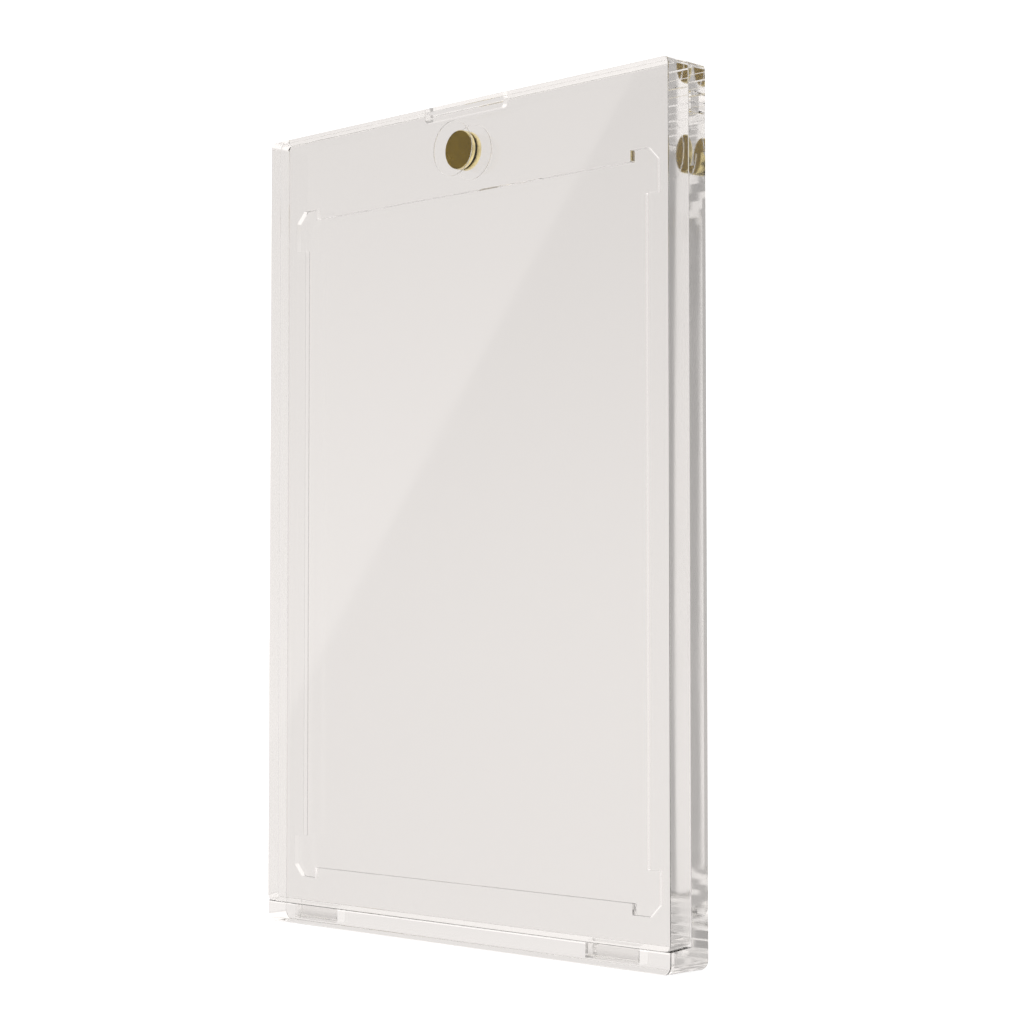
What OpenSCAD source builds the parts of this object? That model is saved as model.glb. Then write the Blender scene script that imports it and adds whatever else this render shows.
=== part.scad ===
// Clear two-part case that shows one trading card and is held shut by a pair of magnets.
// It stands on its ledge: X runs across it, Y from the front to the back, and Z up.
// The origin is in the middle of the ledge's underside.

/* [Case] */
// Width of the case
case_w = 76; // [73:0.5:100]
// Height of the case
case_h = 111; // [108:0.5:150]
// Thickness of the front cover
cover_t = 3.75; // [3.7:0.05:6]
// Thickness of the rear base
base_t = 3.2; // [3.15:0.05:6]
// Air gap between the cover and the base
face_gap = 0.05; // [0.03:0.01:0.1]
// Radius of the corners, seen from the front
corner_r = 0.8; // [0.3:0.1:2]
// Width of the bevel along the outer edges
edge_bevel = 0.1; // [0.05:0.05:0.4]
// Width of the bevel along the edges at the seam
seam_bevel = 0.05; // [0.03:0.01:0.2]

/* [Card] */
// Width of the card that the case holds
card_w = 63.5; // [55:0.5:64]
// Height of the card that the case holds
card_h = 88.9; // [80:0.1:90]
// Space between the card and each side of its recess
card_side_gap = 0.7; // [0.2:0.1:1]
// Space between the card and each end of its recess
card_end_gap = 1.3; // [0.2:0.1:1.5]
// Depth of the recess, which is in the rear base alone
recess_t = 0.8; // [0.4:0.1:1.6]
// Height of the recess above the underside of the case
recess_z = 7.8; // [7:0.1:9]

/* [Corner reliefs] */
// How far a relief reaches past the side of the recess
relief_side = 2; // [1:0.1:2.5]
// How far a relief reaches past the end of the recess
relief_end = 1.4; // [0.8:0.1:2]
// How far a relief runs inwards along the end of the recess
relief_run_x = 2.5; // [1:0.1:5]
// How far a relief runs inwards along the side of the recess
relief_run_z = 4.3; // [2:0.1:8]
// Radius of a relief's outer corner
relief_r = 1.6; // [0.4:0.1:2]

/* [Ledge and tabs] */
// Height of the ledge at its front edge
ledge_h = 2.8; // [2.6:0.1:5]
// Slope of the ledge's top, which rises towards the back
ledge_slope = 5; // [2:0.5:8]
// Gap between the ledge and the cover that stands on it
ledge_gap = 0.05; // [0.03:0.01:0.15]
// Distance from the middle of the case to the middle of each tab
tab_x = 28; // [20:0.5:29]
// Width of a tab
tab_w = 8.6; // [5:0.1:12]
// Distance from the front face to a tab's front
tab_y = 1.2; // [0.9:0.1:1.4]
// Radius of a tab's curved back, about the line that the cover tilts on
tab_r = 3.1; // [2.6:0.1:3.2]
// How far a tab reaches below the ledge's front edge
tab_drop = 1.8; // [1:0.1:2]
// Gap between a tab and its slot at the sides, in front and below
slot_gap = 0.2; // [0.1:0.05:0.3]

/* [Magnets] */
// Diameter of a magnet
magnet_d = 5.2; // [4:0.1:6]
// Thickness of a magnet
magnet_t = 1.4; // [1:0.1:1.5]
// Distance from the top of the case to the centre of the magnets
magnet_drop = 6.1; // [5.5:0.1:6.3]
// Diameter of the round plug that closes a magnet's pocket
plug_d = 7.4; // [7:0.1:8]
// Thickness of the front plug
front_plug_t = 2; // [1:0.05:2]
// Thickness of the rear plug
rear_plug_t = 1.45; // [1:0.05:1.5]
// Gap around a magnet and around a plug, and at their ends
pocket_gap = 0.05; // [0.02:0.01:0.1]

/* [Finger notch] */
// Width of the notch in the top edge of the rear base
notch_w = 15; // [8:0.5:24]
// How far the notch reaches down
notch_h = 1.4; // [0.6:0.1:1.6]
// How far the notch reaches back
notch_t = 1.5; // [0.6:0.1:2]

/* [Hidden] */
$fn = 96;

// Planes of the case: its front face, the two faces at the seam, and its back face
case_t = cover_t + face_gap + base_t;
front_y = -case_t / 2;
cover_back_y = front_y + cover_t;
base_front_y = cover_back_y + face_gap;
back_y = case_t / 2;

// Card recess
recess_w = card_w + 2 * card_side_gap;
recess_h = card_h + 2 * card_end_gap;

// Slots for the tabs
slot_w = tab_w + 2 * slot_gap;
slot_y = front_y + tab_y - slot_gap;
slot_z = ledge_h - tab_drop - slot_gap;

// Bores for the plugs, and the pockets for the magnets beyond them
magnet_z = case_h - magnet_drop;
front_bore_end_y = front_y + front_plug_t + pocket_gap;
rear_bore_end_y = back_y - rear_plug_t - pocket_gap;
bore_d = plug_d + 2 * pocket_gap;
pocket_d = magnet_d + 2 * pocket_gap;
pocket_t = magnet_t + pocket_gap;

// How far a cut runs past the face that it opens
over = 1;
// Number of steps in a rounded corner
arc_steps = 8;

// Height of the ledge's sloping top at the plane y
function ledge_top(y) = ledge_h + (y - front_y) * tan(ledge_slope);

// Points of a rectangle with rounded corners
function round_rect(x0, y0, x1, y1, r) = [
    for (corner = [[x1 - r, y1 - r, 0], [x0 + r, y1 - r, 90], [x0 + r, y0 + r, 180], [x1 - r, y0 + r, 270]])
        for (i = [0:arc_steps])
            let (a = corner[2] + 90 * i / arc_steps)
                [corner[0] + r * cos(a), corner[1] + r * sin(a)]
];

// Points of a rectangle with bevels of width b0 at its low X and b1 at its high X
function bevel_rect(x0, y0, x1, y1, b0, b1) = [
    [x0 + b0, y0], [x1 - b1, y0], [x1, y0 + b1], [x1, y1 - b1],
    [x1 - b1, y1], [x0 + b0, y1], [x0, y1 - b0], [x0, y0 + b0]
];

// Extrudes a shape that is drawn as X and Z, from the plane y to y + t
module behind(y, t) {
    translate([0, y + t, 0]) rotate([90, 0, 0]) linear_extrude(t) children();
}

// Extrudes a shape that is drawn as Y and Z, over the width w of the case
module across(w) {
    rotate([90, 0, 90]) translate([0, 0, -w / 2]) linear_extrude(w) children();
}

// Extrudes a shape that is drawn as Y and -X, over the full height of the case
module upwards() {
    translate([0, 0, -over]) rotate(90) linear_extrude(case_h + 2 * over) children();
}

// Plate from the plane y0 to y1, above z0, with rounded corners and a bevel at its front and its back
module plate(y0, y1, z0, front_bevel, back_bevel) {
    intersection() {
        behind(y0, y1 - y0) polygon(round_rect(-case_w / 2, z0, case_w / 2, case_h, corner_r));
        upwards() polygon(bevel_rect(y0, -case_w / 2, y1, case_w / 2, front_bevel, back_bevel));
        across(case_w + 2 * over) polygon(bevel_rect(y0, z0, y1, case_h, front_bevel, back_bevel));
    }
}

// Outline of the relief at the corner of the recess, where the corner is the origin
module relief_outline() {
    polygon(concat(
        [[-relief_run_x, relief_end], [-relief_run_x, -relief_run_z], [relief_side, -relief_run_z]],
        [for (i = [0:arc_steps])
            let (a = 90 * i / arc_steps, r = min(relief_r, relief_side, relief_end + relief_run_z))
                [relief_side - r + r * cos(a), relief_end - r + r * sin(a)]]
    ));
}

// Outline of the card recess, with a relief at each corner
module recess_outline() {
    translate([-recess_w / 2, recess_z]) square([recess_w, recess_h]);
    for (side = [0, 1], end = [0, 1])
        translate([0, recess_z + recess_h / 2])
            mirror([side, 0]) mirror([0, end])
                translate([recess_w / 2, recess_h / 2]) relief_outline();
}

// Disc on the centre line of the magnets, from the plane y to y + t
module disc(y, t, d) {
    translate([0, y, magnet_z]) rotate([-90, 0, 0]) cylinder(d = d, h = t);
}

// One tab under the cover, with a back that is round about the tilt line
module tab() {
    intersection() {
        translate([-tab_w / 2, front_y + tab_y, ledge_h - tab_drop])
            cube([tab_w, tab_r, tab_drop + over]);
        translate([-tab_w, front_y, ledge_h])
            rotate([0, 90, 0]) cylinder(r = tab_r, h = 2 * tab_w);
    }
}

// The ledge in front of the seam, which the cover stands on
module ledge() {
    intersection() {
        plate(front_y, back_y, 0, edge_bevel, edge_bevel);
        across(case_w + 2 * over)
            polygon([
                [front_y - over, -over],
                [back_y, -over],
                [back_y, ledge_h],
                [base_front_y + seam_bevel, ledge_h],
                [base_front_y + seam_bevel, ledge_top(base_front_y)],
                [base_front_y, ledge_top(base_front_y)],
                [front_y - over, ledge_top(front_y - over)]
            ]);
    }
}

module rear_base() {
    color("white", 0.35) difference() {
        union() {
            plate(base_front_y, back_y, 0, seam_bevel, edge_bevel);
            ledge();
        }
        behind(base_front_y - over, recess_t + over) recess_outline();
        for (side = [-1, 1])
            translate([side * tab_x - slot_w / 2, slot_y, slot_z])
                cube([slot_w, base_front_y - slot_y, ledge_h + over]);
        disc(rear_bore_end_y, back_y - rear_bore_end_y + over, bore_d);
        disc(rear_bore_end_y - pocket_t, pocket_t + pocket_gap, pocket_d);
        translate([-notch_w / 2, base_front_y - over, case_h - notch_h])
            cube([notch_w, notch_t + over, notch_h + over]);
    }
}

module front_cover() {
    color("white", 0.35) difference() {
        union() {
            intersection() {
                plate(front_y, cover_back_y, ledge_h + ledge_gap, edge_bevel, seam_bevel);
                across(case_w + 2 * over)
                    polygon([
                        [front_y - over, ledge_top(front_y - over) + ledge_gap],
                        [cover_back_y + over, ledge_top(cover_back_y + over) + ledge_gap],
                        [cover_back_y + over, case_h + over],
                        [front_y - over, case_h + over]
                    ]);
            }
            for (side = [-1, 1])
                translate([side * tab_x, 0, 0]) tab();
        }
        disc(front_y - over, front_bore_end_y - front_y + over, bore_d);
        disc(front_bore_end_y - pocket_gap, pocket_t + pocket_gap, pocket_d);
    }
}

module front_magnet() {
    color("darkgoldenrod") disc(front_bore_end_y, magnet_t, magnet_d);
}

module rear_magnet() {
    color("darkgoldenrod") disc(rear_bore_end_y - magnet_t, magnet_t, magnet_d);
}

module front_plug() {
    color("white", 0.35) disc(front_y, front_plug_t, plug_d);
}

module rear_plug() {
    color("white", 0.35) disc(back_y - rear_plug_t, rear_plug_t, plug_d);
}

rear_base();
front_cover();
front_magnet();
rear_magnet();
front_plug();
rear_plug();
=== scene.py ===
# %% [markdown]
# # A clear display case for one trading card
#
# The case is two clear plates that lie face to face: a base with a ledge along its foot and a
# shallow recess for the card, and a cover that stands on the ledge and hooks into it by two tabs. A
# gold-plated magnet in each plate holds them shut. Each magnet sits in a round pocket that a clear
# plug closes.
#
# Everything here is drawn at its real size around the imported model, which the first cell loads.

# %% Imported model
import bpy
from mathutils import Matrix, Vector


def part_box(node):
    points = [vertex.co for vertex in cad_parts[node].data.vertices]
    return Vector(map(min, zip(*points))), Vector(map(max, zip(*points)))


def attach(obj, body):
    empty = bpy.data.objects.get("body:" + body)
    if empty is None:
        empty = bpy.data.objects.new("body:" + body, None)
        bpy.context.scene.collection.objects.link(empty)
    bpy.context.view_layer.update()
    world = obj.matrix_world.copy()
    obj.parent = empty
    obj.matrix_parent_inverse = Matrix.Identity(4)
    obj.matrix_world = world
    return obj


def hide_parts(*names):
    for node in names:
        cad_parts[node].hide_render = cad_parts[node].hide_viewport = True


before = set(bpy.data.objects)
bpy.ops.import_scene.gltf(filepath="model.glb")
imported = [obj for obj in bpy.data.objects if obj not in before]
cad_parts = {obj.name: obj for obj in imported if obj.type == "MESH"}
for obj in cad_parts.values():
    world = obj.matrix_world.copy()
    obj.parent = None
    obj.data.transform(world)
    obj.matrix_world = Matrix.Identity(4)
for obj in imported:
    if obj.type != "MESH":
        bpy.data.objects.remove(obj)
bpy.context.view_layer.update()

# %% Blender's modules
import math
import bmesh
import bpy
from mathutils import Vector

MM = 0.001
print("lengths are in metres, and MM turns millimetres into them")

# %% [markdown]
# ## The planes of the case
#
# A plate's outer planes are read from its node, so each piece lies exactly where the model has it.
# The planes inside, such as the depth of the recess, don't show in a node's box. They are given
# here at their real size.
#
# One plane is moved by a hair: 0.04 mm are polished off the cover's back. The strips that show in
# the side of the case are reflections between the faces, and this thickness brings them to where
# they are on the real case.

# %% Planes read from the nodes
base_low, base_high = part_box("rear_base")
cover_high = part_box("front_cover")[1]
front_magnet_low, front_magnet_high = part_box("front_magnet")
rear_magnet_low, rear_magnet_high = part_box("rear_magnet")
front_plug_low, front_plug_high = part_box("front_plug")
rear_plug_low, rear_plug_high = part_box("rear_plug")

SIDE = base_high.x
TOP = base_high.z
FRONT_Y = base_low.y
BACK_Y = base_high.y
FACE_GAP = 0.05 * MM
BASE_FRONT_Y = cover_high.y + FACE_GAP
POLISHED_OFF = 0.04 * MM
COVER_BACK_Y = cover_high.y - POLISHED_OFF
MAGNET_Z = (front_magnet_low.z + front_magnet_high.z) / 2
print(f"case {2 * SIDE / MM:.1f} x {(BACK_Y - FRONT_Y) / MM:.2f} x {TOP / MM:.1f} mm")

# %% Sizes inside the plates
UPPER_RADIUS = 0.8 * MM
LOWER_RADIUS = 1.3 * MM
RECESS_WIDTH = 64.9 * MM
RECESS_HEIGHT = 91.5 * MM
RECESS_DEPTH = 0.75 * MM
RECESS_BOTTOM = 7.8 * MM
RELIEF_SIDE = 2.0 * MM
RELIEF_END = 1.4 * MM
RELIEF_RUN_X = 2.5 * MM
RELIEF_RUN_Z = 4.3 * MM
RELIEF_CHAMFER = 1.6 * MM
LEDGE_HEIGHT = 2.8 * MM
LEDGE_SLOPE = math.tan(math.radians(5))
LEDGE_GAP = 0.05 * MM
TAB_PLACE = 28 * MM
TAB_WIDTH = 8.6 * MM
TAB_SETBACK = 1.2 * MM
TAB_RADIUS = 3.1 * MM
TAB_DROP = 1.8 * MM
SLOT_GAP = 0.2 * MM
NOTCH_WIDTH = 15 * MM
NOTCH_DROP = 1.4 * MM
NOTCH_DEPTH = 1.5 * MM
NOTCH_RADIUS = 0.5 * MM
FOOT_ROUNDING = 0.25 * MM
EDGE_ROUNDING = 0.12 * MM
SEAM_ROUNDING = 0.05 * MM
MOUTH_ROUNDING = 0.02 * MM
RIM_ROUNDING = 0.01 * MM
RIM_DEPTH = 0.06 * MM
RIM_WALL = 0.06 * MM
RIM_GAP = 0.02 * MM
OVER = 1 * MM


def ledge_top(y):
    """Height of the ledge's sloping top at the plane y."""
    return LEDGE_HEIGHT + (y - FRONT_Y) * LEDGE_SLOPE


print(f"the ledge rises from {LEDGE_HEIGHT / MM:.2f} to {ledge_top(BASE_FRONT_Y) / MM:.2f} mm")

# %% [markdown]
# ## Hand tools
#
# Most of the work below is the same few moves: add a box or a disc, pick some of its edges by where
# they lie, and cut one shape out of another. Each move gets a short function, so that the steps
# that follow read like a list of workshop operations. Everything is deselected before a new shape
# is added, because an operator works on all that is selected.

# %% Adding shapes
def clear_selection():
    """Leaves edit mode and deselects every object."""
    if bpy.context.object and bpy.context.object.mode != "OBJECT":
        bpy.ops.object.mode_set(mode="OBJECT")
    bpy.ops.object.select_all(action="DESELECT")


def fix_place(piece, name):
    """Names a new shape and moves its place, turn and scale into its mesh."""
    piece.name = name
    piece.data.name = name
    bpy.ops.object.transform_apply(location=True, rotation=True, scale=True)
    return piece


def add_box(name, low, high):
    """Adds a box that reaches from one corner to the other."""
    clear_selection()
    low, high = Vector(low), Vector(high)
    bpy.ops.mesh.primitive_cube_add(size=1, location=(low + high) / 2, scale=high - low)
    return fix_place(bpy.context.object, name)


DISC_SIDES = 96


def add_disc(name, y0, y1, diameter):
    """Adds a disc on the centre line of the magnets, from the plane y0 to y1."""
    clear_selection()
    bpy.ops.mesh.primitive_cylinder_add(
        vertices=DISC_SIDES,
        radius=diameter / 2,
        depth=y1 - y0,
        location=(0, (y0 + y1) / 2, MAGNET_Z),
        rotation=(math.pi / 2, 0, 0),
    )
    return fix_place(bpy.context.object, name)


def add_ring(name, y0, y1, outer, inner):
    """Adds a ring on the centre line of the magnets. Its middle is cut out by a longer disc."""
    ring = add_disc(name, y0, y1, outer)
    return cut(ring, add_disc("core", y0 - OVER, y1 + OVER, inner))


print("shapes: box, disc and ring")


# %% Picking and shaping
def pick(piece, kind, wanted):
    """Opens a piece in edit mode with only the wanted vertices, edges or faces selected, and counts them."""
    clear_selection()
    bpy.context.view_layer.objects.active = piece
    piece.select_set(True)
    bpy.ops.object.mode_set(mode="EDIT")
    bpy.ops.mesh.select_mode(type=kind)
    bpy.ops.mesh.select_all(action="DESELECT")
    mesh = bmesh.from_edit_mesh(piece.data)
    mesh.normal_update()
    parts = {"VERT": mesh.verts, "EDGE": mesh.edges, "FACE": mesh.faces}[kind]
    chosen = [part for part in parts if wanted(part)]
    for part in chosen:
        part.select_set(True)
    mesh.select_flush_mode()
    bmesh.update_edit_mesh(piece.data)
    return len(chosen)


def done():
    """Closes edit mode."""
    bpy.ops.object.mode_set(mode="OBJECT")


def combine(piece, other, operation):
    """Cuts the other shape out of a piece, or joins or intersects them, and removes the other shape."""
    clear_selection()
    bpy.context.view_layer.objects.active = piece
    piece.select_set(True)
    boolean = piece.modifiers.new("combine", "BOOLEAN")
    boolean.operation = operation
    boolean.solver = "EXACT"
    boolean.object = other
    bpy.ops.object.modifier_apply(modifier=boolean.name)
    bpy.data.objects.remove(other)
    return piece


def cut(piece, other):
    """Cuts the other shape out of a piece."""
    return combine(piece, other, "DIFFERENCE")


SAME_PLACE = 0.0005 * MM
SAME_PLANE = math.radians(0.2)


def tidy_faces(piece):
    """Merges doubles and joins faces that lie in one plane."""
    pick(piece, "VERT", lambda vertex: True)
    bpy.ops.mesh.remove_doubles(threshold=SAME_PLACE)
    bpy.ops.mesh.dissolve_limited(angle_limit=SAME_PLANE)
    bpy.ops.mesh.normals_make_consistent(inside=False)
    done()


print("moves: pick, cut, combine and tidy")

# %% [markdown]
# ## Rounded edges
#
# No moulded edge is truly sharp. The outer edges of the plates are polished over by about a tenth
# of a millimetre, those around the ledge's front face by a quarter, and the edges at the seam by
# far less. This could be drawn by hand with the bevel tool, edge by edge, but a Bevel modifier that
# reads a weight on each edge does all of them at once and gets the corners right. Its width is the
# largest rounding, and a weight is an edge's share of it. Its loop slide is off, because it would
# pull new corners along the hidden edges that a Boolean leaves in a flat face, and fold the face
# over itself.
#
# A Weighted Normal modifier then keeps the wide faces perfectly flat, which clear plastic needs: a
# face that is only slightly curved by its shading would bend everything seen through it.

# %% Rounding
ROUNDED_OVER = math.radians(25)
CURVE_LIMIT = math.radians(30)
FLATTEST = 100


def is_sharp_ridge(edge):
    """Says whether an edge is an outward one that the mould's polish would round."""
    return edge.is_manifold and edge.is_convex and edge.calc_face_angle(0) > ROUNDED_OVER


def give_weight(piece, weight, wanted):
    """Gives the sharp ridges that are wanted a weight for the Bevel modifier."""
    count = pick(piece, "EDGE", lambda edge: is_sharp_ridge(edge) and wanted(edge))
    bpy.ops.transform.edge_bevelweight(value=weight)
    done()
    return count


def round_edges(piece, width, segments):
    """Rounds the weighted edges and keeps the flat faces flat."""
    clear_selection()
    bpy.context.view_layer.objects.active = piece
    piece.select_set(True)
    bevel = piece.modifiers.new("rounding", "BEVEL")
    bevel.limit_method = "WEIGHT"
    bevel.width = width
    bevel.segments = segments
    bevel.use_clamp_overlap = False
    bevel.loop_slide = False
    bpy.ops.object.modifier_apply(modifier=bevel.name)
    bpy.ops.object.shade_smooth_by_angle(angle=CURVE_LIMIT)
    flat = piece.modifiers.new("flat faces", "WEIGHTED_NORMAL")
    flat.keep_sharp = True
    flat.weight = FLATTEST
    bpy.ops.object.modifier_apply(modifier=flat.name)
    return piece


print("edges over", round(math.degrees(ROUNDED_OVER)), "degrees are rounded")

# %% [markdown]
# ## Finishes
#
# There are two finishes on the case: clear, polished plastic and gold plate. Both are built from
# nodes, so they need no pictures. Node trees get hard to read when every sum is a node added by
# hand, so a small class wraps a socket and lets Python's own signs add the Math nodes:
# `0.2 + rings * 0.06` becomes two of them.

# %% Shader sums
class Socket:
    """One value in a node tree. Python's signs add Math nodes, and node() adds any other node."""

    def __init__(self, tree, socket=None):
        self.tree = tree
        self.socket = socket

    def connect(self, target, value):
        """Links a value to a socket, or sets it where it is a plain number or colour."""
        if isinstance(value, Socket):
            self.tree.links.new(value.socket, target)
        else:
            target.default_value = value

    def node(self, kind, settings=None, inputs=None, output=0):
        """Adds a node: its settings first, then the values or links of its sockets."""
        new = self.tree.nodes.new(kind)
        for name, value in (settings or {}).items():
            setattr(new, name, value)
        for name, value in (inputs or {}).items():
            self.connect(new.inputs[name], value)
        return Socket(self.tree, new.outputs[output])

    def maths(self, operation, first, second):
        """Adds a Math node of two values."""
        return self.node("ShaderNodeMath", {"operation": operation}, {0: first, 1: second})

    def __add__(self, other):
        return self.maths("ADD", self, other)

    def __radd__(self, other):
        return self.maths("ADD", other, self)

    def __mul__(self, other):
        return self.maths("MULTIPLY", self, other)

    def __rmul__(self, other):
        return self.maths("MULTIPLY", other, self)

    def smooth(self, start, end, low=0.0, high=1.0):
        """Turns start to end into low to high, with a soft start and end."""
        return self.node(
            "ShaderNodeMapRange",
            {"interpolation_type": "SMOOTHSTEP"},
            {"Value": self, "From Min": start, "From Max": end, "To Min": low, "To Max": high},
        )

    def mix(self, first, second, kind="RGBA"):
        """Mixes two colours, or two numbers, by this value."""
        sockets = {"RGBA": (6, 7, 2), "FLOAT": (2, 3, 0)}[kind]
        return self.node(
            "ShaderNodeMix",
            {"data_type": kind},
            {0: self, sockets[0]: first, sockets[1]: second},
            output=sockets[2],
        )


def new_finish(name):
    """A new material with a Principled shader. Gives the material, its tree and the shader."""
    finish = bpy.data.materials.new(name)
    finish.use_nodes = True
    tree = finish.node_tree
    return finish, Socket(tree), tree.nodes["Principled BSDF"]


print("shader sums are ready")

# %% [markdown]
# ### Clear plastic
#
# The plates are polished acrylic. Light that enters the long side runs along inside the plate as in
# a light guide, bouncing between the two faces about twelve times, and that is where the dark and
# bright strips on the side come from. They depend on three things: how much the plastic bends
# light, how thick the plates are, and how smooth the faces are. So the refractive index is set with
# care, the roughness stays very low, and no bump is put on the faces.
#
# Even clear plastic takes up a little light, and slightly more blue than red. A Volume Absorption
# node does that, which makes long paths through the plate warmer and darker than short ones. A
# trace of haze drifts over the surface, as on a real moulding that was handled: noise on the
# object's own coordinates varies the roughness.

# %% Clear plastic
REFRACTIVE_INDEX = 1.515
SURFACE_TINT = (0.995, 0.992, 0.988, 1)
ABSORBED = (0.7, 0.69, 0.67, 1)
ABSORPTION = 4.0
HAZE_SCALE = 70
HAZE_DETAIL = 3
HAZE_FINENESS = 0.55
HAZE_STARTS = 0.35
HAZE_FULL = 0.65
LEAST_ROUGHNESS = 0.014
MOST_ROUGHNESS = 0.03


def make_clear_plastic():
    finish, tree, shader = new_finish("polished_clear_plastic")
    place = tree.node("ShaderNodeTexCoord", output=3)
    haze = tree.node(
        "ShaderNodeTexNoise",
        inputs={"Vector": place, "Scale": HAZE_SCALE, "Detail": HAZE_DETAIL, "Roughness": HAZE_FINENESS},
    )
    shader.inputs["Base Color"].default_value = SURFACE_TINT
    shader.inputs["IOR"].default_value = REFRACTIVE_INDEX
    shader.inputs["Transmission Weight"].default_value = 1.0
    roughness = haze.smooth(HAZE_STARTS, HAZE_FULL, LEAST_ROUGHNESS, MOST_ROUGHNESS)
    tree.connect(shader.inputs["Roughness"], roughness)
    volume = tree.node("ShaderNodeVolumeAbsorption", inputs={"Color": ABSORBED, "Density": ABSORPTION})
    tree.connect(tree.tree.nodes["Material Output"].inputs["Volume"], volume)
    return finish


CLEAR_PLASTIC = make_clear_plastic()
print("made", CLEAR_PLASTIC.name, "with", len(CLEAR_PLASTIC.node_tree.nodes), "nodes")

# %% [markdown]
# ### Gold plate
#
# The magnets are turned discs with a thin gold plating. Close up, the flat face has faint rings
# left by the lathe and small patches where the plating is duller. The rim is painted paler: a
# painted sheen, where the rounded rim would catch the light at a grazing angle. The rings and the
# rim are patterns of the distance from the disc's own axis, so a Mapping node first moves the
# coordinates to the middle of the magnet.

# %% Gold plate
GOLD = (0.3, 0.196, 0.01, 1)
DULL_GOLD = (0.255, 0.165, 0.008, 1)
# The pale gold below is a painted sheen for the rim, not a colour of the plating.
SHEEN_GOLD = (0.84, 0.71, 0.34, 1)
RING_SCALE = 9000
RING_DETAIL = 3
RING_STRENGTH = 0.25
RING_HEIGHT = 0.01 * MM
PATCH_SCALE = 900
PATCH_DETAIL = 4
PATCH_FINENESS = 0.6
PATCH_STARTS = 0.3
PATCH_FULL = 0.7
GOLD_ROUGHNESS = 0.2
PATCH_ROUGHNESS = 0.14
RING_ROUGHNESS = 0.06
MAGNET_RADIUS = front_magnet_high.x
# Width of the band of painted sheen at the rim.
SHEEN_WIDTH = 0.12 * MM
RIM_STARTS = MAGNET_RADIUS - SHEEN_WIDTH
RIM_FULL = MAGNET_RADIUS - SHEEN_WIDTH / 4


def make_gold_plate():
    finish, tree, shader = new_finish("satin_gold_plate")
    place = tree.node("ShaderNodeTexCoord", output=3)
    centred = tree.node(
        "ShaderNodeMapping", {"vector_type": "POINT"}, {"Vector": place, "Location": (0, 0, -MAGNET_Z)}
    )
    flat = tree.node("ShaderNodeVectorMath", {"operation": "MULTIPLY"}, {0: centred, 1: (1, 0, 1)})
    reach = tree.node("ShaderNodeVectorMath", {"operation": "LENGTH"}, {0: flat}, output=1)
    patches = tree.node(
        "ShaderNodeTexNoise",
        inputs={"Vector": centred, "Scale": PATCH_SCALE, "Detail": PATCH_DETAIL, "Roughness": PATCH_FINENESS},
    )
    rings = tree.node(
        "ShaderNodeTexNoise",
        {"noise_dimensions": "1D"},
        {"W": reach, "Scale": RING_SCALE, "Detail": RING_DETAIL},
    )
    # Painted sheen: the outer band of the rim is coloured pale gold, where a grazing reflection would
    # brighten it.
    rim = reach.smooth(RIM_STARTS, RIM_FULL)
    plating = patches.smooth(PATCH_STARTS, PATCH_FULL).mix(GOLD, DULL_GOLD)
    tree.connect(shader.inputs["Base Color"], rim.mix(plating, SHEEN_GOLD))
    roughness = GOLD_ROUGHNESS + patches * PATCH_ROUGHNESS + rings * RING_ROUGHNESS
    tree.connect(shader.inputs["Roughness"], roughness)
    bump = tree.node(
        "ShaderNodeBump",
        inputs={"Height": rings, "Strength": RING_STRENGTH, "Distance": RING_HEIGHT},
    )
    tree.connect(shader.inputs["Normal"], bump)
    shader.inputs["Metallic"].default_value = 1.0
    return finish


GOLD_PLATE = make_gold_plate()
print("made", GOLD_PLATE.name, "with", len(GOLD_PLATE.node_tree.nodes), "nodes")


def dress(piece, finish):
    """Gives a piece one finish in its material slots."""
    piece.data.materials.clear()
    piece.data.materials.append(finish)


print("a piece is dressed in one finish")

# %% [markdown]
# ## The rear base
#
# The base is one moulding: a plate with a ledge along its foot, a recess for the card with a relief
# at each corner, two slots for the cover's tabs, a finger notch in its top edge, and a pocket for
# the magnet. It could be drawn as an outline and extruded, but its features lie at many depths. So
# it is made the way a milling machine would: start from a block, pull the ledge out of its foot,
# round its corners, then cut each feature with a shape of its own.

# %% Block and ledge
NEARLY = 0.01 * MM
FACES_FRONT = -0.9


def near(value, target):
    """Says whether two places are the same, give or take a hundredth of a millimetre."""
    return abs(value - target) < NEARLY


base = add_box("base_moulding", (-SIDE, BASE_FRONT_Y, 0), (SIDE, BACK_Y, TOP))
pick(base, "FACE", lambda face: True)
bpy.ops.mesh.bisect(plane_co=(0, 0, ledge_top(BASE_FRONT_Y)), plane_no=(0, 0, 1))
done()
foot = pick(
    base,
    "FACE",
    lambda face: face.normal.y < FACES_FRONT and face.calc_center_median().z < LEDGE_HEIGHT,
)
bpy.ops.mesh.extrude_region_move(TRANSFORM_OT_translate={"value": (0, FRONT_Y - BASE_FRONT_Y, 0)})
done()
lip = pick(base, "VERT", lambda vertex: near(vertex.co.y, FRONT_Y) and vertex.co.z > LEDGE_HEIGHT)
bpy.ops.transform.translate(value=(0, 0, LEDGE_HEIGHT - ledge_top(BASE_FRONT_Y)))
done()
tidy_faces(base)
print(f"pulled {foot} face out as the ledge and lowered {lip} corners of its lip")

# %% Rounded corners of the outline
CORNER_STEPS = 8
LONG_EDGE = 1 * MM


def runs_through(edge):
    """Says whether an edge runs from front to back along one side of a plate."""
    first, second = edge.verts
    on_side = near(abs(first.co.x), SIDE) and near(abs(second.co.x), SIDE)
    return on_side and abs(first.co.y - second.co.y) > LONG_EDGE


def upper_corner(edge):
    """Says whether an edge is one of the upper corners of a plate's outline."""
    return runs_through(edge) and all(near(vertex.co.z, TOP) for vertex in edge.verts)


def lower_corner(edge):
    """Says whether an edge is one of the base's lower corners."""
    return runs_through(edge) and all(near(vertex.co.z, 0) for vertex in edge.verts)


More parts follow.
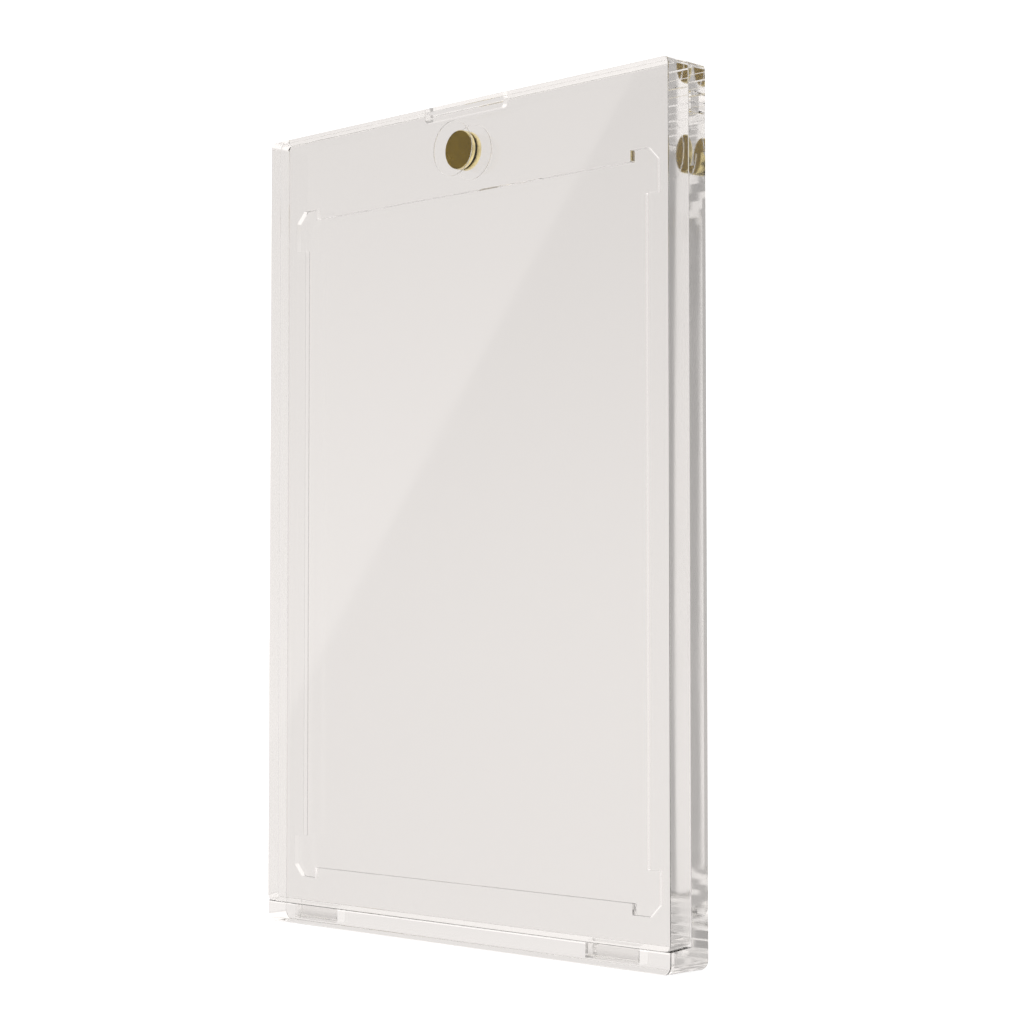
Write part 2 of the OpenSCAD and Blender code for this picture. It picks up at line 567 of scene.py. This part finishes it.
def round_corners(piece, radius, wanted):
    """Rounds the wanted corners of a plate's outline."""
    count = pick(piece, "EDGE", wanted)
    bpy.ops.mesh.bevel(offset=radius, segments=CORNER_STEPS, affect="EDGES")
    done()
    return count


upper_corners = round_corners(base, UPPER_RADIUS, upper_corner)
lower_corners = round_corners(base, LOWER_RADIUS, lower_corner)
print("rounded", upper_corners, "upper and", lower_corners, "lower corners of the base")

# %% [markdown]
# ### The card recess
#
# A card's corners are its most delicate part, so the recess reaches past them in four small reliefs
# that touch nothing. The cutter is a box joined with four smaller boxes, each with one corner cut
# off. The recess is 0.05 mm shallower than the model has it, because the strips in the side of the
# case depend on its depth too.

# %% Recess cutter
recess_middle = RECESS_BOTTOM + RECESS_HEIGHT / 2


def span(first, second):
    """Two places in rising order."""
    return (first, second) if first < second else (second, first)


def make_relief(side, end):
    """A box for one relief, with its outer corner cut off."""
    corner_x = side * RECESS_WIDTH / 2
    corner_z = recess_middle + end * RECESS_HEIGHT / 2
    outer_x = corner_x + side * RELIEF_SIDE
    outer_z = corner_z + end * RELIEF_END
    x0, x1 = span(corner_x - side * RELIEF_RUN_X, outer_x)
    z0, z1 = span(corner_z - end * RELIEF_RUN_Z, outer_z)
    relief = add_box("relief", (x0, BASE_FRONT_Y - OVER, z0), (x1, BASE_FRONT_Y + RECESS_DEPTH, z1))
    pick(
        relief,
        "EDGE",
        lambda edge: all(near(v.co.x, outer_x) and near(v.co.z, outer_z) for v in edge.verts),
    )
    bpy.ops.mesh.bevel(offset=RELIEF_CHAMFER, segments=1, affect="EDGES")
    done()
    return relief


recess = add_box(
    "recess",
    (-RECESS_WIDTH / 2, BASE_FRONT_Y - OVER, RECESS_BOTTOM),
    (RECESS_WIDTH / 2, BASE_FRONT_Y + RECESS_DEPTH, RECESS_BOTTOM + RECESS_HEIGHT),
)
for side in (-1, 1):
    for end in (-1, 1):
        combine(recess, make_relief(side, end), "UNION")
tidy_faces(recess)
cut(base, recess)
print(f"cut the recess, {RECESS_WIDTH / MM:.1f} x {RECESS_HEIGHT / MM:.1f} mm")

# %% [markdown]
# ### Slots, pocket and notch
#
# The slots are boxes, a little wider than the tabs that go into them. The pocket grips its magnet,
# as in a casting, so no air shows around the gold. Around the plug behind it there is a narrow
# groove, which a ring cuts. The notch in the top edge is for a fingernail, and its lower corners
# are rounded. The pocket is cut after the faces are tidied, because that step turns the walls of a
# closed hollow the wrong way round.

# %% Slots, pocket and notch
def add_slot(side):
    """A box for the slot under one tab."""
    half = TAB_WIDTH / 2 + SLOT_GAP
    front = FRONT_Y + TAB_SETBACK - SLOT_GAP
    bottom = LEDGE_HEIGHT - TAB_DROP - SLOT_GAP
    low = (side * TAB_PLACE - half, front, bottom)
    high = (side * TAB_PLACE + half, BASE_FRONT_Y, LEDGE_HEIGHT + OVER)
    return add_box("slot", low, high)


HELD = 0.06 * MM


def add_pocket(low, high):
    """A disc for the pocket that grips a magnet: a hair smaller than the magnet."""
    return add_disc("pocket", low.y + HELD, high.y - HELD, high.x - low.x - 2 * HELD)


def add_groove(y0, y1, plug_width):
    """A ring for the groove around the rim of a plug."""
    inner = plug_width - 2 * RIM_WALL - 2 * RIM_GAP
    return add_ring("groove", y0, y1, plug_width + 2 * RIM_GAP, inner)


for side in (-1, 1):
    cut(base, add_slot(side))
PLUG_WIDTH = rear_plug_high.x - rear_plug_low.x
cut(base, add_groove(BACK_Y - RIM_DEPTH - RIM_GAP, BACK_Y + OVER, PLUG_WIDTH))
print(f"cut 2 slots and the groove around a plug {PLUG_WIDTH / MM:.1f} mm wide")

notch = add_box(
    "notch",
    (-NOTCH_WIDTH / 2, BASE_FRONT_Y - OVER, TOP - NOTCH_DROP),
    (NOTCH_WIDTH / 2, BASE_FRONT_Y + NOTCH_DEPTH, TOP + OVER),
)
pick(
    notch,
    "EDGE",
    lambda edge: all(near(abs(v.co.x), NOTCH_WIDTH / 2) and v.co.z < TOP for v in edge.verts),
)
bpy.ops.mesh.bevel(offset=NOTCH_RADIUS, segments=CORNER_STEPS, affect="EDGES")
done()
cut(base, notch)
tidy_faces(base)
cut(base, add_pocket(rear_magnet_low, rear_magnet_high))
print("cut the finger notch and the magnet's pocket")

# %% Rounding the base
EDGE_WEIGHT = EDGE_ROUNDING / FOOT_ROUNDING
SEAM_WEIGHT = SEAM_ROUNDING / FOOT_ROUNDING
MOUTH_WEIGHT = MOUTH_ROUNDING / FOOT_ROUNDING
RIM_WEIGHT = RIM_ROUNDING / FOOT_ROUNDING
ROUNDING_STEPS = 3


def at_plane(edge, y):
    """Says whether an edge lies in the plane y."""
    return all(near(vertex.co.y, y) for vertex in edge.verts)


def on_ledge_side(edge):
    """Says whether an edge is one of the two that run down the sides of the ledge's sloping top."""
    low = LEDGE_HEIGHT - NEARLY
    return runs_through(edge) and all(low < vertex.co.z < TOP / 2 for vertex in edge.verts)


def around_recess(edge):
    """Says whether an edge is at the mouth of the card recess."""
    inside = all(
        abs(vertex.co.x) < SIDE - OVER and 2 * LEDGE_HEIGHT < vertex.co.z < MAGNET_Z
        for vertex in edge.verts
    )
    return inside and at_plane(edge, BASE_FRONT_Y)


def around_plug(edge):
    """Says whether an edge is at the groove around a plug."""
    reach = PLUG_WIDTH / 2 + RIM_GAP + NEARLY
    return all(math.hypot(v.co.x, v.co.z - MAGNET_Z) < reach for v in edge.verts)


def around_ledge_front(edge):
    """Says whether an edge is one of those around the ledge's front face."""
    return at_plane(edge, FRONT_Y)


def at_base_seam(edge):
    """Says whether an edge is one of the outer edges at the seam."""
    return on_ledge_side(edge) or (at_plane(edge, BASE_FRONT_Y) and not around_recess(edge))


mouth_edges = give_weight(base, MOUTH_WEIGHT, around_recess)
seam_edges = give_weight(base, SEAM_WEIGHT, at_base_seam)
rim_edges = give_weight(base, RIM_WEIGHT, around_plug)
foot_edges = give_weight(base, 1.0, around_ledge_front)
special = (around_recess, at_base_seam, around_plug, around_ledge_front)
other_edges = give_weight(
    base,
    EDGE_WEIGHT,
    lambda edge: not any(is_one(edge) for is_one in special),
)
round_edges(base, FOOT_ROUNDING, ROUNDING_STEPS)
dress(base, CLEAR_PLASTIC)
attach(base, "base")
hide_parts("rear_base")
print(f"rounded {mouth_edges} edges at the recess, {seam_edges} at the seam and {rim_edges} at the groove")
print(f"and {foot_edges} around the ledge's front face and {other_edges} others")

# %% [markdown]
# ## The front cover
#
# The cover is a plain plate that stands on the ledge. Its foot slopes as the ledge does, so that it
# seats itself, and two tabs reach down into the slots. Each tab's back is round about the line that
# the cover tilts on, so it rolls out of its slot without rubbing. The round back is made by
# intersecting a box with a roller on that line.

# %% Plate with a sloping foot
cover = add_box(
    "cover_moulding",
    (-SIDE, FRONT_Y, LEDGE_HEIGHT + LEDGE_GAP),
    (SIDE, COVER_BACK_Y, TOP),
)
heel = pick(cover, "VERT", lambda vertex: near(vertex.co.y, COVER_BACK_Y) and vertex.co.z < TOP / 2)
bpy.ops.transform.translate(value=(0, 0, ledge_top(COVER_BACK_Y) - LEDGE_HEIGHT))
done()
corners = round_corners(cover, UPPER_RADIUS, runs_through)
print(f"raised {heel} corners of the foot and rounded {corners} corners of the cover")

# %% Tabs
ROLLER_SIDES = 128


def make_tab(side):
    """One tab: a block whose back is round about the tilt line."""
    behind = FRONT_Y + TAB_RADIUS + OVER / 2
    low = (side * TAB_PLACE - TAB_WIDTH / 2, FRONT_Y + TAB_SETBACK, LEDGE_HEIGHT - TAB_DROP)
    high = (side * TAB_PLACE + TAB_WIDTH / 2, behind, LEDGE_HEIGHT + OVER)
    tab = add_box("tab", low, high)
    clear_selection()
    bpy.ops.mesh.primitive_cylinder_add(
        vertices=ROLLER_SIDES,
        radius=TAB_RADIUS,
        depth=2 * TAB_WIDTH,
        location=(side * TAB_PLACE, FRONT_Y, LEDGE_HEIGHT),
        rotation=(0, math.pi / 2, 0),
    )
    return combine(tab, fix_place(bpy.context.object, "roller"), "INTERSECT")


for side in (-1, 1):
    combine(cover, make_tab(side), "UNION")
cut(cover, add_groove(FRONT_Y - OVER, FRONT_Y + RIM_DEPTH + RIM_GAP, PLUG_WIDTH))
tidy_faces(cover)
cut(cover, add_pocket(front_magnet_low, front_magnet_high))
print("joined 2 tabs to the cover and cut its pocket")

# %% Rounding the cover
def along_cover_foot(edge):
    """Says whether an edge is the long one at the foot of the cover's front face."""
    foot_z = LEDGE_HEIGHT + LEDGE_GAP
    return at_plane(edge, FRONT_Y) and all(near(vertex.co.z, foot_z) for vertex in edge.verts)


def at_cover_seam(edge):
    """Says whether an edge is one of those around the cover's back."""
    return at_plane(edge, COVER_BACK_Y)


seam_edges = give_weight(cover, SEAM_WEIGHT, at_cover_seam)
rim_edges = give_weight(cover, RIM_WEIGHT, around_plug)
foot_edges = give_weight(cover, MOUTH_WEIGHT, along_cover_foot)
special = (at_cover_seam, around_plug, along_cover_foot)
other_edges = give_weight(
    cover,
    EDGE_WEIGHT,
    lambda edge: not any(is_one(edge) for is_one in special),
)
round_edges(cover, FOOT_ROUNDING, ROUNDING_STEPS)
dress(cover, CLEAR_PLASTIC)
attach(cover, "cover")
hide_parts("front_cover")
print(f"rounded {seam_edges} edges at the seam, {rim_edges} at the groove and {foot_edges} at the foot")
print(f"and {other_edges} others")

# %% [markdown]
# ## Magnets and plugs
#
# A magnet is a small disc with well-rounded rims, because the plating would wear through on a sharp
# one. The plug that closes its pocket is bonded in with a clear glue, which bends light as the
# plastic does. So all that shows of it is its rim, where the glue stops short of the face and
# leaves a hairline of air. The rim is drawn as a thin ring in a shallow groove, and inside and
# below it the plug and the plate are one. Both start as a cylinder and get their edges rounded by
# the same weighted bevel as the plates.

# %% Magnets
MAGNET_ROUNDING = 0.2 * MM
MAGNET_STEPS = 4


def make_magnet(name, node, body, low, high):
    magnet = add_disc(name, low.y, high.y, high.x - low.x)
    rims = give_weight(magnet, 1.0, lambda edge: True)
    round_edges(magnet, MAGNET_ROUNDING, MAGNET_STEPS)
    dress(magnet, GOLD_PLATE)
    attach(magnet, body)
    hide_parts(node)
    print(f"{name}: {rims} rim edges rounded, {len(magnet.data.polygons)} faces")


make_magnet("magnet_in_cover", "front_magnet", "cover", front_magnet_low, front_magnet_high)
make_magnet("magnet_in_base", "rear_magnet", "base", rear_magnet_low, rear_magnet_high)

# %% Plugs
PLUG_STEPS = 2


def thinned(corner, y):
    """A corner of a plug's box, moved to the plane y."""
    return Vector((corner.x, y, corner.z))


def make_plug(name, node, body, low, high):
    plug = add_ring(name, low.y, high.y, high.x - low.x, high.x - low.x - 2 * RIM_WALL)
    rims = give_weight(plug, 1.0, lambda edge: True)
    round_edges(plug, RIM_ROUNDING, PLUG_STEPS)
    dress(plug, CLEAR_PLASTIC)
    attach(plug, body)
    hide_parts(node)
    print(f"{name}: {rims} rim edges rounded, {len(plug.data.polygons)} faces")


front_rim_high = thinned(front_plug_high, FRONT_Y + RIM_DEPTH)
rear_rim_low = thinned(rear_plug_low, BACK_Y - RIM_DEPTH)
make_plug("plug_in_cover", "front_plug", "cover", front_plug_low, front_rim_high)
make_plug("plug_in_base", "rear_plug", "base", rear_rim_low, rear_plug_high)

# %% [markdown]
# ## Studio
#
# Clear plastic has no colour of its own to show. What is seen is the room, through it and in it, so
# the light matters more than the material. The room could be built from lamps and cards, but the
# faces would mirror every one of them. So it is a world that is bright behind the case and dim in
# front of it: the bright side shines through the plates, and the dim side draws the dark lines
# along the edges and in the sides. The levels change softly by direction alone, so there is no
# horizon to bend.
#
# The floor is a plain pale sheet under the case. It is hidden from reflections, because the world
# already has a bright table below, which the plates mirror.

# %% Floor
FLOOR_SIZE = 8
FLOOR_GREY = (0.3, 0.3, 0.3, 1)
FLOOR_GLOW = 0.9


def make_floor():
    clear_selection()
    bpy.ops.mesh.primitive_plane_add(size=FLOOR_SIZE, location=(0, 0, 0))
    floor = fix_place(bpy.context.object, "studio_floor")
    finish, tree, shader = new_finish("floor_paper")
    shader.inputs["Base Color"].default_value = FLOOR_GREY
    shader.inputs["Roughness"].default_value = 1.0
    shader.inputs["Specular IOR Level"].default_value = 0.0
    shader.inputs["Emission Color"].default_value = (1, 1, 1, 1)
    shader.inputs["Emission Strength"].default_value = FLOOR_GLOW
    dress(floor, finish)
    floor.visible_glossy = False
    floor.visible_transmission = False


make_floor()
print("laid a pale floor of", FLOOR_SIZE, "m")

# %% [markdown]
# ### The room
#
# Each part of the room adds its share of light to the directions that it fills, where X points to
# the right, Y away from the viewer and Z up. The back is a little brighter low down, where the
# table also helps. The ceiling whitens the top edge, and the right side whitens the chamfers of the
# reliefs a little. The far front is lighter too, so that the case isn't dark when it is seen from
# behind. A soft box stands in front of the case, above and to the left, and its straight edge shows
# in the face as a faint slanting line.
#
# The backdrop is whiter than the light that comes through the case, as it is in a product
# photograph, and the Light Path node gives it a level of its own. The light on the case is a little
# warmer than the backdrop.

# %% Levels of the room
FRONT_HIGH = 0.36
FRONT_LOW = 0.5
FRONT_ENDS = -0.5
FAR_FRONT = 0.35
FAR_FRONT_FULL = -1
FAR_FRONT_ENDS = -0.8
BACK_HIGH = 0.785
BACK_LOW = 0.9
BACK_EDGE = -0.04
BACK_STARTS = 0.2
TABLE = 0.25
RIGHT = 0.08
CEILING = 0.34
CEILING_STARTS = 0.24
CEILING_FULL = 0.42
FADE = 0.3
SOFT_BOX = 0.25
SOFT_BOX_EDGE = (-0.5742, 0.669, 0.4719)
SOFTNESS = 0.0015
WARM = (1, 0.964, 0.942, 1)
WHITE = (1, 1, 1, 1)
BACKGROUND = 1.3
print("the room is", BACK_HIGH, "behind the case and", FRONT_HIGH, "in front of it")


# %% World
def make_world():
    world = bpy.data.worlds.new("soft_studio")
    bpy.context.scene.world = world
    world.use_nodes = True
    tree = Socket(world.node_tree)
    direction = tree.node("ShaderNodeTexCoord", output=0)
    along = tree.node("ShaderNodeSeparateXYZ", inputs={0: direction}, output=1)
    upward = tree.node("ShaderNodeSeparateXYZ", inputs={0: direction}, output=2)
    rightward = tree.node("ShaderNodeSeparateXYZ", inputs={0: direction}, output=0)
    above = tree.node(
        "ShaderNodeVectorMath",
        {"operation": "DOT_PRODUCT"},
        {0: direction, 1: SOFT_BOX_EDGE},
        output=1,
    )
    soft_box = above.smooth(-SOFTNESS, SOFTNESS, 0, SOFT_BOX)
    far_front = along.smooth(FAR_FRONT_FULL, FAR_FRONT_ENDS, FAR_FRONT, 0)
    front = upward.smooth(-FADE, FADE, FRONT_LOW, FRONT_HIGH) + soft_box + far_front
    table = upward.smooth(-FADE, -FADE / 2, TABLE, 0)
    ceiling = upward.smooth(CEILING_STARTS, CEILING_FULL, 0, CEILING)
    right = rightward.smooth(-FADE, FADE, 0, RIGHT)
    back = upward.smooth(BACK_EDGE, FADE, BACK_LOW, BACK_HIGH) + table + ceiling + right
    level = along.smooth(FRONT_ENDS, BACK_STARTS).mix(front, back, kind="FLOAT")
    seen = tree.node("ShaderNodeLightPath", output=0)
    background = world.node_tree.nodes["Background"]
    tree.connect(background.inputs["Strength"], seen.mix(level, BACKGROUND, kind="FLOAT"))
    tree.connect(background.inputs["Color"], seen.mix(WARM, WHITE))


make_world()
print("the world has", len(bpy.context.scene.world.node_tree.nodes), "nodes")

# %% [markdown]
# ## Camera
#
# The camera stands to the right of the case, a little below its middle, and looks slightly up at
# it. Its place, turn and lens were worked out from the corners of the case in the reference view.

# %% Camera
CAMERA_PLACE = (0.22656, -0.21733, 0.04251)
CAMERA_TILT = 92.604
CAMERA_TURN = 45.207
LENS = 83.29
SENSOR_WIDTH = 36
NEAREST = 0.01
FARTHEST = 100


def make_camera():
    camera = bpy.data.cameras.new("view")
    camera.lens = LENS
    camera.sensor_width = SENSOR_WIDTH
    camera.clip_start = NEAREST
    camera.clip_end = FARTHEST
    stand = bpy.data.objects.new("view", camera)
    stand.location = CAMERA_PLACE
    stand.rotation_euler = (math.radians(CAMERA_TILT), 0, math.radians(CAMERA_TURN))
    bpy.context.scene.collection.objects.link(stand)
    bpy.context.scene.camera = stand


make_camera()
print("camera at", CAMERA_PLACE)

# %% [markdown]
# ## Light paths
#
# A ray that runs along inside a plate bounces more often than Cycles allows by default, and where
# it is cut off the plastic turns black. Forty bounces are enough for the strips that show in the
# side.

# %% Light paths
BOUNCES = 40
cycles = bpy.context.scene.cycles
cycles.max_bounces = BOUNCES
cycles.transmission_bounces = BOUNCES
cycles.glossy_bounces = BOUNCES
bpy.context.scene.view_settings.view_transform = "Standard"
print("a path may bounce", BOUNCES, "times")
